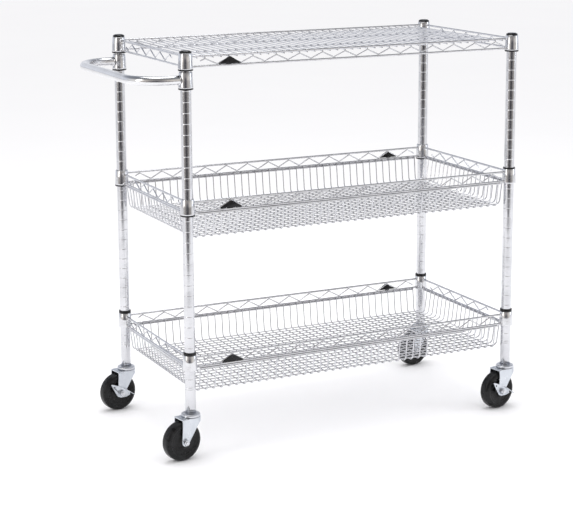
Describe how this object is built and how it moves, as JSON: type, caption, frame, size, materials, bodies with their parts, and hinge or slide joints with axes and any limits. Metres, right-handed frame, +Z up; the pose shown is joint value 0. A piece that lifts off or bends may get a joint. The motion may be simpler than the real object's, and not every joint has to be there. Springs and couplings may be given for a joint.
{
  "type": "rolling utility cart",
  "caption": "Chromed wire utility cart with a flat top shelf, two wire baskets, a bent tube push handle and swivel casters.",
  "frame": {"origin": "on the floor, under the middle of the whole cart with its handle and casters", "axes": "+X runs along the shelves away from the handle end, +Y from the front long side to the back, +Z up"},
  "size_m": [1.0403, 0.4904, 0.977],
  "materials": {
    "post_chrome": "bright plated tube",
    "wire_chrome": "plated drawn wire",
    "zinc": "bright zinc plate with a faint blue tint",
    "black_plastic": "smooth black moulding",
    "wheel_rubber": "semi-matt black rubber"
  },
  "bodies": {
    "frame": {"post_front_left": "post_chrome", "post_front_right": "post_chrome", "post_back_left": "post_chrome", "post_back_right": "post_chrome", "post_caps": "black_plastic", "post_inserts": "zinc", "split_sleeves": "black_plastic", "badge_plates": "black_plastic", "handle_bar": "post_chrome", "handle_collars": "post_chrome", "top_collars": "post_chrome", "top_rim_wires": "wire_chrome", "top_truss_wires": "wire_chrome", "top_mat_wires": "wire_chrome", "top_support_wires": "wire_chrome", "middle_collars": "post_chrome", "middle_rim_wires": "wire_chrome", "middle_truss_wires": "wire_chrome", "middle_basket_rims": "wire_chrome", "middle_floor_cross_wires": "wire_chrome", "middle_floor_long_wires": "wire_chrome", "middle_long_walls": "wire_chrome", "middle_end_walls": "wire_chrome", "bottom_collars": "post_chrome", "bottom_rim_wires": "wire_chrome", "bottom_truss_wires": "wire_chrome", "bottom_basket_rims": "wire_chrome", "bottom_floor_cross_wires": "wire_chrome", "bottom_floor_long_wires": "wire_chrome", "bottom_long_walls": "wire_chrome", "bottom_end_walls": "wire_chrome", "caster_stems": "zinc", "swivel_balls": "zinc"},
    "front_left_swivel": {"front_left_fork": "zinc", "front_left_axle_tube": "zinc", "front_left_axle_bolt": "zinc", "front_left_axle_nut": "zinc"},
    "front_left_rolling": {"front_left_wheel": "wheel_rubber"},
    "front_right_swivel": {"front_right_fork": "zinc", "front_right_axle_tube": "zinc", "front_right_axle_bolt": "zinc", "front_right_axle_nut": "zinc"},
    "front_right_rolling": {"front_right_wheel": "wheel_rubber"},
    "front_right_brake": {"front_right_brake_lever": "zinc"},
    "back_left_swivel": {"back_left_fork": "zinc", "back_left_axle_tube": "zinc", "back_left_axle_bolt": "zinc", "back_left_axle_nut": "zinc"},
    "back_left_rolling": {"back_left_wheel": "wheel_rubber"},
    "back_left_brake": {"back_left_brake_lever": "zinc"},
    "back_right_swivel": {"back_right_fork": "zinc", "back_right_axle_tube": "zinc", "back_right_axle_bolt": "zinc", "back_right_axle_nut": "zinc"},
    "back_right_rolling": {"back_right_wheel": "wheel_rubber"}
  },
  "joints": [
    {"name": "front_left_caster_swivel", "type": "hinge", "parent": "frame", "child": "front_left_swivel", "pos_m": [-0.39248, -0.21041, 0.1], "axis": [0, 0, 1], "continuous": true},
    {"name": "front_left_wheel_spin", "type": "hinge", "parent": "front_left_swivel", "child": "front_left_rolling", "pos_m": [-0.41907, -0.21509, 0.048], "axis": [-0.1736, 0.9848, 0], "continuous": true},
    {"name": "front_right_caster_swivel", "type": "hinge", "parent": "frame", "child": "front_right_swivel", "pos_m": [0.49652, -0.21041, 0.1], "axis": [0, 0, 1], "continuous": true},
    {"name": "front_right_wheel_spin", "type": "hinge", "parent": "front_right_swivel", "child": "front_right_rolling", "pos_m": [0.46993, -0.21509, 0.048], "axis": [-0.1736, 0.9848, 0], "continuous": true},
    {"name": "front_right_brake_pedal", "type": "hinge", "parent": "front_right_swivel", "child": "front_right_brake", "pos_m": [0.46993, -0.21509, 0.048], "axis": [-0.1736, 0.9848, 0], "range_deg": [0, 20]},
    {"name": "back_left_caster_swivel", "type": "hinge", "parent": "frame", "child": "back_left_swivel", "pos_m": [-0.39248, 0.22159, 0.1], "axis": [0, 0, 1], "continuous": true},
    {"name": "back_left_wheel_spin", "type": "hinge", "parent": "back_left_swivel", "child": "back_left_rolling", "pos_m": [-0.41907, 0.21691, 0.048], "axis": [-0.1736, 0.9848, 0], "continuous": true},
    {"name": "back_left_brake_pedal", "type": "hinge", "parent": "back_left_swivel", "child": "back_left_brake", "pos_m": [-0.41907, 0.21691, 0.048], "axis": [-0.1736, 0.9848, 0], "range_deg": [0, 20]},
    {"name": "back_right_caster_swivel", "type": "hinge", "parent": "frame", "child": "back_right_swivel", "pos_m": [0.49652, 0.22159, 0.1], "axis": [0, 0, 1], "continuous": true},
    {"name": "back_right_wheel_spin", "type": "hinge", "parent": "back_right_swivel", "child": "back_right_rolling", "pos_m": [0.46993, 0.21691, 0.048], "axis": [-0.1736, 0.9848, 0], "continuous": true}
  ]
}
